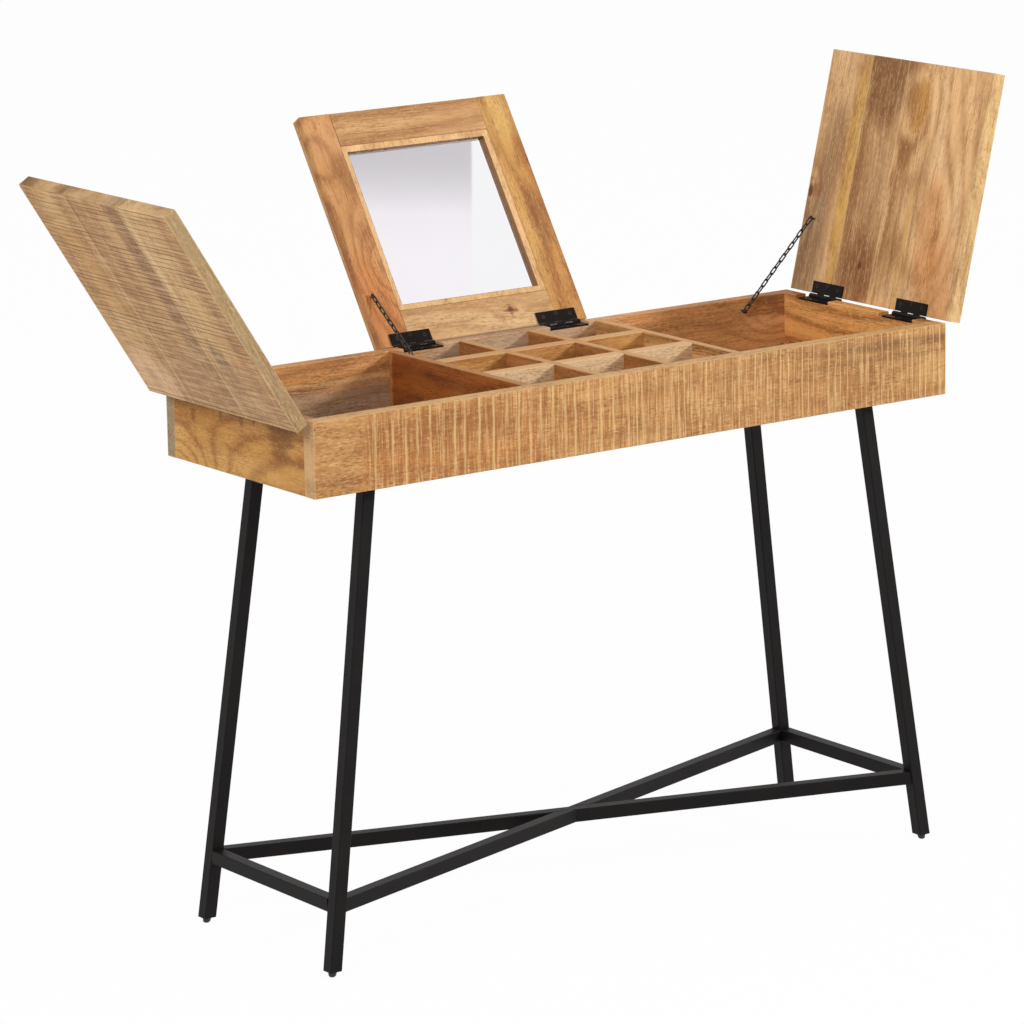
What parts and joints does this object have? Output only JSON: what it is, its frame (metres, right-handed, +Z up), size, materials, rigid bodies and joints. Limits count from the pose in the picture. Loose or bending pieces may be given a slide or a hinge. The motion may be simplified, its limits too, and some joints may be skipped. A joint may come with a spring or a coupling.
{
  "type": "dressing table",
  "caption": "Dressing table: a long wooden box with open trays and a grid of cells under hinged lids on chains, one lid with a mirror inside, standing on splayed steel tube legs.",
  "frame": {"origin": "on the floor under the middle of the bounding box, lids open as in the picture", "axes": "+X along the box to its right end, +Y to the back, +Z up"},
  "size_m": [1.4068, 0.5824, 1.1145],
  "materials": {
    "case_wood": "sawn and oiled",
    "inside_wood": "oiled",
    "lid_wood": "planed and oiled",
    "mirror": "silvered glass",
    "black_steel": "satin black",
    "chain_steel": "antique black",
    "glide_plastic": "matt black"
  },
  "bodies": {
    "table": {"front_board": "case_wood", "back_board": "case_wood", "left_end_board": "case_wood", "left_partition": "inside_wood", "right_end_board": "case_wood", "right_partition": "inside_wood", "bottom_panel": "inside_wood", "lengthwise_divider_1": "inside_wood", "lengthwise_divider_2": "inside_wood", "crosswise_divider_1": "inside_wood", "crosswise_divider_2": "inside_wood", "left_lid_hinge_front_case_leaf": "black_steel", "left_lid_hinge_rear_case_leaf": "black_steel", "left_chain_screw": "black_steel", "centre_lid_hinge_left_case_leaf": "black_steel", "centre_lid_hinge_right_case_leaf": "black_steel", "centre_chain_screw": "black_steel", "right_lid_hinge_front_case_leaf": "black_steel", "right_lid_hinge_rear_case_leaf": "black_steel", "right_chain_screw": "black_steel", "front_left_leg": "black_steel", "front_left_glide": "glide_plastic", "front_right_leg": "black_steel", "front_right_glide": "glide_plastic", "rear_left_leg": "black_steel", "rear_left_glide": "glide_plastic", "rear_right_leg": "black_steel", "rear_right_glide": "glide_plastic", "left_side_stretcher": "black_steel", "right_side_stretcher": "black_steel", "long_diagonal": "black_steel", "front_left_half_diagonal": "black_steel", "rear_right_half_diagonal": "black_steel"},
    "left_lid_body": {"left_lid": "lid_wood", "left_lid_hinge_front_lid_leaf": "black_steel", "left_lid_hinge_rear_lid_leaf": "black_steel", "left_chain_eye": "black_steel"},
    "centre_lid_body": {"mirror_left_stile": "lid_wood", "mirror_right_stile": "lid_wood", "mirror_hinge_rail": "lid_wood", "mirror_free_rail": "lid_wood", "mirror_bead": "lid_wood", "mirror_glass": "mirror", "mirror_outer_panel": "lid_wood", "centre_lid_hinge_left_lid_leaf": "black_steel", "centre_lid_hinge_right_lid_leaf": "black_steel", "centre_chain_eye": "black_steel"},
    "right_lid_body": {"right_lid": "lid_wood", "right_lid_hinge_front_lid_leaf": "black_steel", "right_lid_hinge_rear_lid_leaf": "black_steel", "right_chain_eye": "black_steel"},
    "left_chain_low": {"left_chain_low_run": "chain_steel"},
    "left_chain_mid": {"left_chain_mid_run": "chain_steel"},
    "left_chain_up": {"left_chain_up_run": "chain_steel"},
    "centre_chain_low": {"centre_chain_low_run": "chain_steel"},
    "centre_chain_mid": {"centre_chain_mid_run": "chain_steel"},
    "centre_chain_up": {"centre_chain_up_run": "chain_steel"},
    "right_chain_low": {"right_chain_low_run": "chain_steel"},
    "right_chain_mid": {"right_chain_mid_run": "chain_steel"},
    "right_chain_up": {"right_chain_up_run": "chain_steel"}
  },
  "joints": [
    {"name": "left_lid_fold", "type": "hinge", "parent": "table", "child": "left_lid_body", "pos_m": [-0.49132, -0.11016, 0.7624], "axis": [0, 1, 0], "range_deg": [0, 122.3]},
    {"name": "left_chain_low_fold", "type": "hinge", "parent": "table", "child": "left_chain_low", "pos_m": [-0.38087, 0.04484, 0.7475], "axis": [0, 1, 0], "range_deg": [0, 281.1]},
    {"name": "left_chain_mid_fold", "type": "hinge", "parent": "left_chain_low", "child": "left_chain_mid", "pos_m": [-0.40046, 0.04484, 0.76066], "axis": [0, 1, 0], "range_deg": [-141.6, 0]},
    {"name": "left_chain_up_fold", "type": "hinge", "parent": "left_lid_body", "child": "left_chain_up", "pos_m": [-0.5474, 0.04484, 0.85934], "axis": [0, 1, 0], "range_deg": [-151.4, 0]},
    {"name": "centre_lid_fold", "type": "hinge", "parent": "table", "child": "centre_lid_body", "pos_m": [0.05308, 0.07524, 0.7624], "axis": [1, 0, 0], "range_deg": [0, 122.7]},
    {"name": "centre_chain_low_fold", "type": "hinge", "parent": "table", "child": "centre_chain_low", "pos_m": [-0.11367, 0.00447, 0.7475], "axis": [1, 0, 0], "range_deg": [0, 242.2]},
    {"name": "centre_chain_up_fold", "type": "hinge", "parent": "centre_lid_body", "child": "centre_chain_up", "pos_m": [-0.11367, 0.11812, 0.83196], "axis": [1, 0, 0], "range_deg": [0, 17.7]},
    {"name": "centre_chain_mid_fold", "type": "hinge", "parent": "centre_chain_up", "child": "centre_chain_mid", "pos_m": [-0.11367, 0.08023, 0.80381], "axis": [1, 0, 0], "range_deg": [-115.1, 0]},
    {"name": "right_lid_fold", "type": "hinge", "parent": "table", "child": "right_lid_body", "pos_m": [0.59748, -0.11016, 0.7624], "axis": [0, -1, 0], "range_deg": [0, 103.5]},
    {"name": "right_chain_low_fold", "type": "hinge", "parent": "table", "child": "right_chain_low", "pos_m": [0.49374, 0.04484, 0.7475], "axis": [0, -1, 0], "range_deg": [0, 280.1]},
    {"name": "right_chain_mid_fold", "type": "hinge", "parent": "right_chain_low", "child": "right_chain_mid", "pos_m": [0.51048, 0.04484, 0.76413], "axis": [0, -1, 0], "range_deg": [-147.1, 0]},
    {"name": "right_chain_up_fold", "type": "hinge", "parent": "right_lid_body", "child": "right_chain_up", "pos_m": [0.61932, 0.04484, 0.87223], "axis": [0, -1, 0], "range_deg": [-139.1, 0]}
  ],
  "couplings": [
    {"joint": "left_chain_low_fold", "follows": "left_lid_fold", "ratio": 2.2976},
    {"joint": "left_chain_mid_fold", "follows": "left_lid_fold", "ratio": -1.157},
    {"joint": "left_chain_up_fold", "follows": "left_lid_fold", "ratio": -1.2371},
    {"joint": "centre_chain_low_fold", "follows": "centre_lid_fold", "ratio": 1.9731},
    {"joint": "centre_chain_up_fold", "follows": "centre_lid_fold", "ratio": 0.14344},
    {"joint": "centre_chain_mid_fold", "follows": "centre_lid_fold", "ratio": -0.93725},
    {"joint": "right_chain_low_fold", "follows": "right_lid_fold", "ratio": 2.7053},
    {"joint": "right_chain_mid_fold", "follows": "right_lid_fold", "ratio": -1.4203},
    {"joint": "right_chain_up_fold", "follows": "right_lid_fold", "ratio": -1.343}
  ]
}
